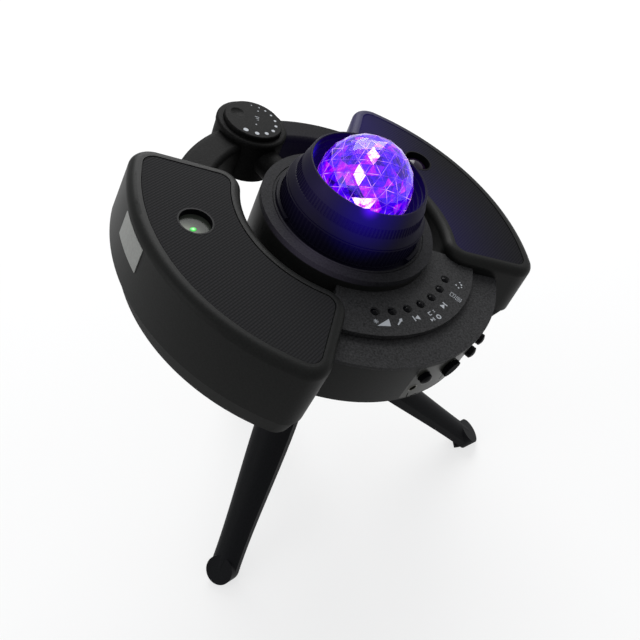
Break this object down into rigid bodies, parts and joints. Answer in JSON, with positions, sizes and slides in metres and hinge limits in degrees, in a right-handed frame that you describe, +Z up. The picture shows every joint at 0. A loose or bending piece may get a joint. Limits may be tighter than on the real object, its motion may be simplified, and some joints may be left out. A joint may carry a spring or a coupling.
{
  "type": "planetarium projector",
  "caption": "Desk planetarium projector: lit faceted dome in a ribbed barrel, curved speaker wings, console keys and volume dial, on a ball head with folding legs.",
  "frame": {"origin": "middle of the footprint box, on the desk that the three soles stand on", "axes": "+Z up; -Y is the side that the console faces; +X is to the right as seen from the front"},
  "size_m": [0.2216, 0.2073, 0.2377],
  "materials": {
    "case_plastic": "fine grained black",
    "top_plastic": "fine spark-eroded black",
    "wall_plastic": "satin black",
    "speaker_mesh": "fine diagonal weave, black",
    "key_plastic": "glossy black",
    "barrel_plastic": "satin black, ribbed",
    "arm_plastic": "satin black",
    "dome_acrylic": "clear faceted acrylic",
    "lens_glass": "clear polished",
    "ring_plastic": "glossy black",
    "foot_rubber": "soft black",
    "leg_plastic": "satin black",
    "head_metal": "black anodised",
    "steel": "bright zinc",
    "circuit_board": "green solder mask",
    "heat_sink": "plain",
    "motor_can": "plain",
    "part_nylon": "moulded",
    "speaker_driver": "paper cone and steel magnet",
    "gear_nylon": "natural white",
    "label_foil": "blank silver grey"
  },
  "bodies": {
    "stand": {"tripod_hub": "leg_plastic", "leg_pins": "steel"},
    "leg_left": {"leg_left": "leg_plastic", "foot_left": "foot_rubber"},
    "leg_right": {"leg_right": "leg_plastic", "foot_right": "foot_rubber"},
    "leg_rear": {"leg_rear": "leg_plastic", "foot_rear": "foot_rubber"},
    "ball_socket": {"ball_housing": "head_metal"},
    "clamp": {"clamp_knob": "head_metal"},
    "ball": {"ball_stud": "steel", "stud_platform": "head_metal"},
    "knob": {"side_knob": "key_plastic"},
    "dial": {"volume_dial": "arm_plastic"},
    "focus": {"focus_ring": "barrel_plastic"},
    "dome": {"crystal_dome": "dome_acrylic", "dome_carrier": "gear_nylon"},
    "pinion": {"motor_pinion": "gear_nylon"},
    "key_brightness": {"button_brightness": "key_plastic"},
    "key_torch": {"button_torch": "key_plastic"},
    "key_previous": {"button_previous": "key_plastic"},
    "key_play": {"button_play": "key_plastic"},
    "key_next": {"button_next": "key_plastic"},
    "key_colour": {"button_colour": "key_plastic"},
    "key_stars": {"button_stars": "key_plastic"},
    "key_side_left": {"side_button_left": "key_plastic"},
    "key_side_middle": {"side_button_middle": "key_plastic"},
    "key_side_right": {"side_button_right": "key_plastic"},
    "case": {"drum_shell": "wall_plastic", "collar_ring": "top_plastic", "base_plate": "case_plastic", "console_shell": "wall_plastic", "console_top": "top_plastic", "control_panel": "top_plastic", "side_strip": "wall_plastic", "main_board": "circuit_board", "socket_block": "part_nylon", "case_screws": "steel", "rating_label": "label_foil", "turret_body": "arm_plastic", "dial_encoder": "part_nylon", "barrel_base": "barrel_plastic", "hood": "barrel_plastic", "drive_motor": "motor_can", "lamp_post": "heat_sink", "laser_module": "heat_sink", "wing_shell_right": "wall_plastic", "wing_shell_left": "wall_plastic", "wing_base_right": "wall_plastic", "wing_base_left": "wall_plastic", "grille_right": "speaker_mesh", "grille_left": "speaker_mesh", "speaker_right": "speaker_driver", "speaker_left": "speaker_driver", "rear_arm_right": "arm_plastic", "rear_arm_left": "arm_plastic", "window_ring_right": "ring_plastic", "window_ring_left": "ring_plastic", "window_lens_right": "lens_glass", "window_lens_left": "lens_glass"}
  },
  "joints": [
    {"name": "leg_right_fold", "type": "hinge", "parent": "stand", "child": "leg_right", "pos_m": [0.0064, -0.01586, 0.10543], "axis": [0.6157, 0.788, 0], "range_deg": [0, 40]},
    {"name": "leg_rear_fold", "type": "hinge", "parent": "stand", "child": "leg_rear", "pos_m": [-0.00168, 0.00466, 0.10543], "axis": [-0.9877, 0.1564, 0], "range_deg": [0, 40]},
    {"name": "leg_left_fold", "type": "hinge", "parent": "stand", "child": "leg_left", "pos_m": [-0.01575, -0.01225, 0.10543], "axis": [0.3338, -0.9426, 0], "range_deg": [0, 40]},
    {"name": "pan", "type": "hinge", "parent": "stand", "child": "ball_socket", "pos_m": [-0.00368, -0.00798, 0.11743], "axis": [0, 0, 1], "continuous": true},
    {"name": "clamp_turn", "type": "hinge", "parent": "ball_socket", "child": "clamp", "pos_m": [-0.00368, -0.00798, 0.14243], "axis": [0.749, 0.6626, 0], "range_deg": [-180, 90]},
    {"name": "ball_tilt", "type": "hinge", "parent": "ball_socket", "child": "ball", "pos_m": [-0.00368, -0.00798, 0.14243], "axis": [0.749, 0.6626, 0], "range_deg": [-60, 19]},
    {"name": "case_turn", "type": "hinge", "parent": "ball", "child": "case", "pos_m": [-0.00368, -0.00798, 0.14243], "axis": [0.2288, -0.2586, 0.9385], "continuous": true},
    {"name": "press_brightness", "type": "slide", "parent": "case", "child": "key_brightness", "axis": [-0.2288, 0.2586, -0.9385], "range_m": [0, 0.0007], "stiffness_N_per_m": 400, "springref_m": -0.0005},
    {"name": "press_torch", "type": "slide", "parent": "case", "child": "key_torch", "axis": [-0.2288, 0.2586, -0.9385], "range_m": [0, 0.0007], "stiffness_N_per_m": 400, "springref_m": -0.0005},
    {"name": "press_previous", "type": "slide", "parent": "case", "child": "key_previous", "axis": [-0.2288, 0.2586, -0.9385], "range_m": [0, 0.0007], "stiffness_N_per_m": 400, "springref_m": -0.0005},
    {"name": "press_play", "type": "slide", "parent": "case", "child": "key_play", "axis": [-0.2288, 0.2586, -0.9385], "range_m": [0, 0.0007], "stiffness_N_per_m": 400, "springref_m": -0.0005},
    {"name": "press_next", "type": "slide", "parent": "case", "child": "key_next", "axis": [-0.2288, 0.2586, -0.9385], "range_m": [0, 0.0007], "stiffness_N_per_m": 400, "springref_m": -0.0005},
    {"name": "press_colour", "type": "slide", "parent": "case", "child": "key_colour", "axis": [-0.2288, 0.2586, -0.9385], "range_m": [0, 0.0007], "stiffness_N_per_m": 400, "springref_m": -0.0005},
    {"name": "press_stars", "type": "slide", "parent": "case", "child": "key_stars", "axis": [-0.2288, 0.2586, -0.9385], "range_m": [0, 0.0007], "stiffness_N_per_m": 400, "springref_m": -0.0005},
    {"name": "press_side_left", "type": "slide", "parent": "case", "child": "key_side_left", "axis": [0.2222, 0.9525, 0.2083], "range_m": [0, 0.0008], "stiffness_N_per_m": 400, "springref_m": -0.0005},
    {"name": "press_side_middle", "type": "slide", "parent": "case", "child": "key_side_middle", "axis": [-0.1724, 0.9381, 0.3005], "range_m": [0, 0.0008], "stiffness_N_per_m": 400, "springref_m": -0.0005},
    {"name": "press_side_right", "type": "slide", "parent": "case", "child": "key_side_right", "axis": [-0.3041, 0.8968, 0.3213], "range_m": [0, 0.0008], "stiffness_N_per_m": 400, "springref_m": -0.0005},
    {"name": "knob_turn", "type": "hinge", "parent": "case", "child": "knob", "pos_m": [0.00269, -0.10019, 0.15724], "axis": [-0.0305, -0.9655, -0.2586], "range_deg": [-140, 140]},
    {"name": "dial_turn", "type": "hinge", "parent": "case", "child": "dial", "pos_m": [0.00991, 0.05465, 0.20859], "axis": [0.2288, -0.2586, 0.9385], "range_deg": [-135, 135]},
    {"name": "focus_turn", "type": "hinge", "parent": "case", "child": "focus", "pos_m": [0.01201, -0.02572, 0.20681], "axis": [0.2288, -0.2586, 0.9385], "range_deg": [-90, 90]},
    {"name": "dome_spin", "type": "hinge", "parent": "case", "child": "dome", "pos_m": [0.01394, -0.0279, 0.21469], "axis": [0.2288, -0.2586, 0.9385], "continuous": true},
    {"name": "pinion_spin", "type": "hinge", "parent": "case", "child": "pinion", "pos_m": [0.00841, 0.00727, 0.1959], "axis": [0.2288, -0.2586, 0.9385], "continuous": true}
  ],
  "couplings": [
    {"joint": "pinion_spin", "follows": "dome_spin", "ratio": -5}
  ]
}
